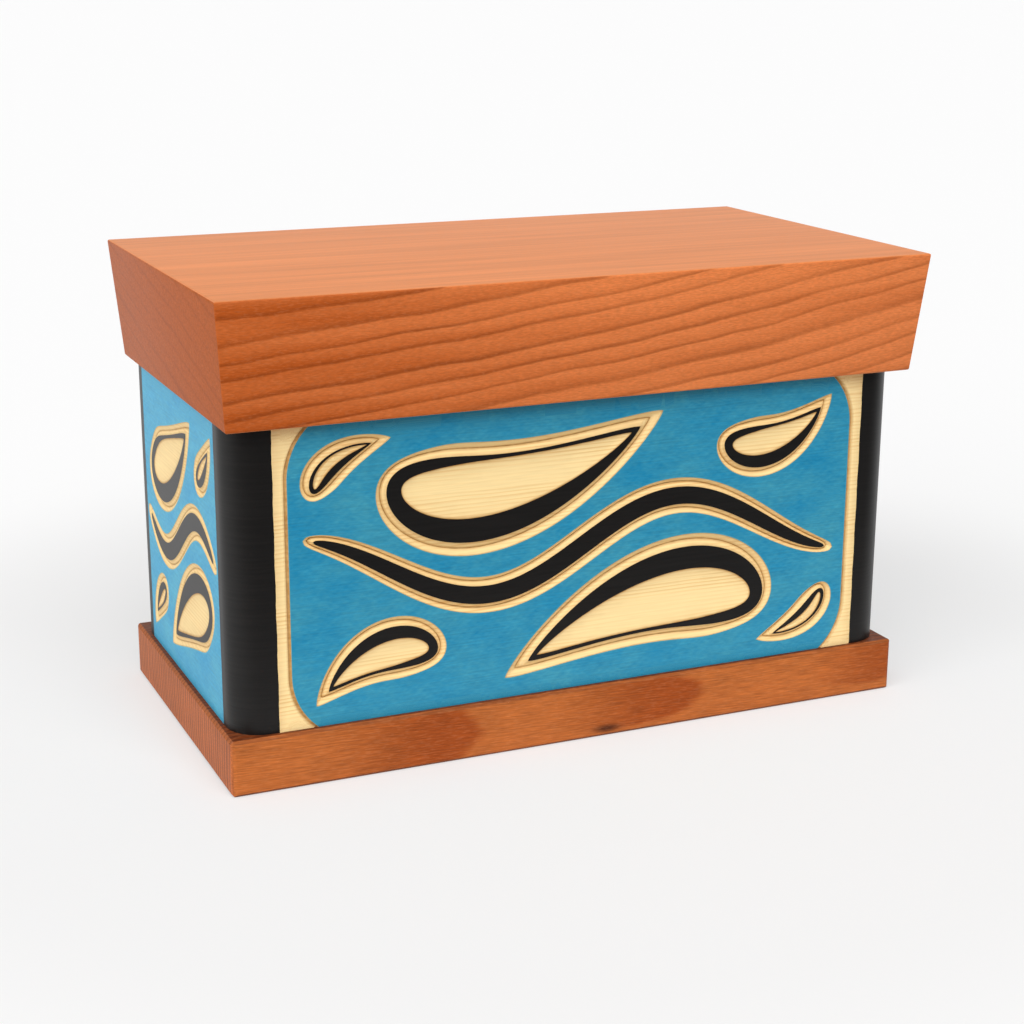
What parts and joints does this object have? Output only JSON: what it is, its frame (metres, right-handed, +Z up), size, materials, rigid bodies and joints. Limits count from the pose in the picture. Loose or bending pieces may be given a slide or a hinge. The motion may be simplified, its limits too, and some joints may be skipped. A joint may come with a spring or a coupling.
{
  "type": "bentwood box",
  "caption": "Kerf-bent cedar box: one carved plank bent round its corners and pegged at the last, on a ledged base board, under a thick flared lid that plugs into the rim and lifts off.",
  "frame": {"origin": "middle of the base board's underside, on the surface that the box stands on", "axes": "+X along the box's length, to the right of someone facing its front; -Y out of the front; +Z up"},
  "size_m": [0.306, 0.1694, 0.195],
  "materials": {
    "lid_red_cedar": "oiled, satin",
    "yellow_cedar": "carved and painted, satin",
    "base_red_cedar": "oiled, satin",
    "peg_wood": "plain"
  },
  "bodies": {
    "box": {"side_plank": "yellow_cedar", "base_board": "base_red_cedar", "corner_peg_1": "peg_wood", "corner_peg_2": "peg_wood", "corner_peg_3": "peg_wood", "corner_peg_4": "peg_wood", "corner_peg_5": "peg_wood", "base_peg_front_1": "peg_wood", "base_peg_front_2": "peg_wood", "base_peg_front_3": "peg_wood", "base_peg_back_1": "peg_wood", "base_peg_back_2": "peg_wood", "base_peg_back_3": "peg_wood", "base_peg_left_1": "peg_wood", "base_peg_left_2": "peg_wood", "base_peg_right_1": "peg_wood", "base_peg_right_2": "peg_wood"},
    "lid": {"lid": "lid_red_cedar"}
  },
  "joints": [
    {"name": "lid_lift", "type": "slide", "parent": "box", "child": "lid", "axis": [0, 0, 1], "range_m": [0, 0.15]}
  ]
}
